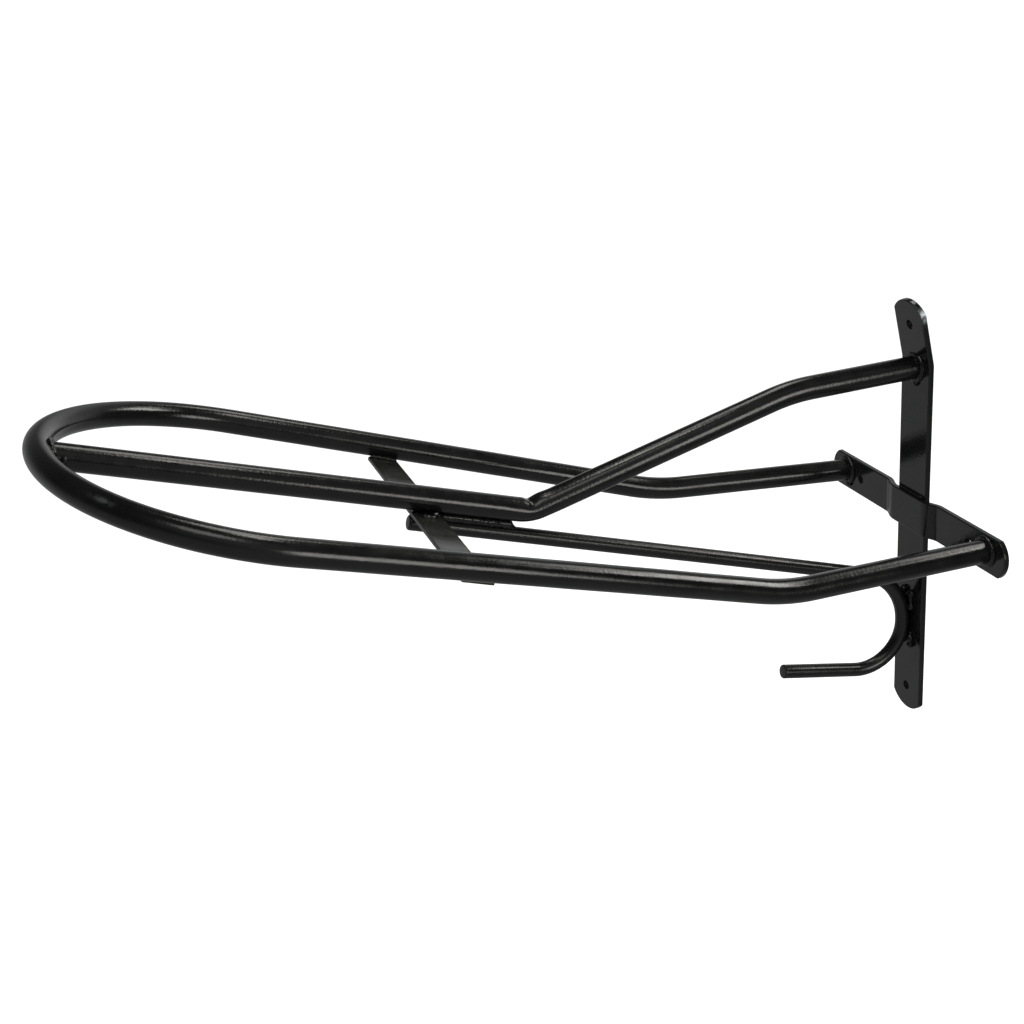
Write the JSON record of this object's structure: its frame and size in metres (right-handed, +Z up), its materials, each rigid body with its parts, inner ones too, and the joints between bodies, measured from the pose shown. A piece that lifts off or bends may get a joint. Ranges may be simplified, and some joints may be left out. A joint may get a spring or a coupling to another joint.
{
  "type": "wall-mounted saddle rack",
  "caption": "Wall-mounted saddle rack: a rounded loop of bent tube with a centre rail, a bridle hook of round bar under it, and two flat wall straps, all welded.",
  "frame": {"origin": "on the wall plane (the back of the straps), midway between the vertical strap's two screw holes", "axes": "+Z up along the vertical strap, -Y out of the wall towards the nose of the loop, X = 0 is the plane of symmetry"},
  "size_m": [0.251, 0.575, 0.3231],
  "materials": {
    "tube_paint": "gloss black",
    "flat_paint": "gloss black",
    "rod_paint": "gloss black",
    "weld_paint": "gloss black over weld beads"
  },
  "bodies": {
    "root": {"seat_loop": "tube_paint", "centre_rail": "tube_paint", "hook_rod": "rod_paint", "under_bar": "flat_paint", "wall_strap": "flat_paint", "cross_strap": "flat_paint", "right_leg_weld": "weld_paint", "left_leg_weld": "weld_paint", "centre_rail_wall_weld": "weld_paint", "nose_weld": "weld_paint", "right_bar_weld": "weld_paint", "left_bar_weld": "weld_paint", "centre_rail_bar_weld": "weld_paint", "rod_bar_weld": "weld_paint", "rod_rail_weld": "weld_paint", "rod_upper_weld": "weld_paint", "rod_lower_weld": "weld_paint", "cross_upper_weld": "weld_paint", "cross_lower_weld": "weld_paint"}
  },
  "joints": []
}
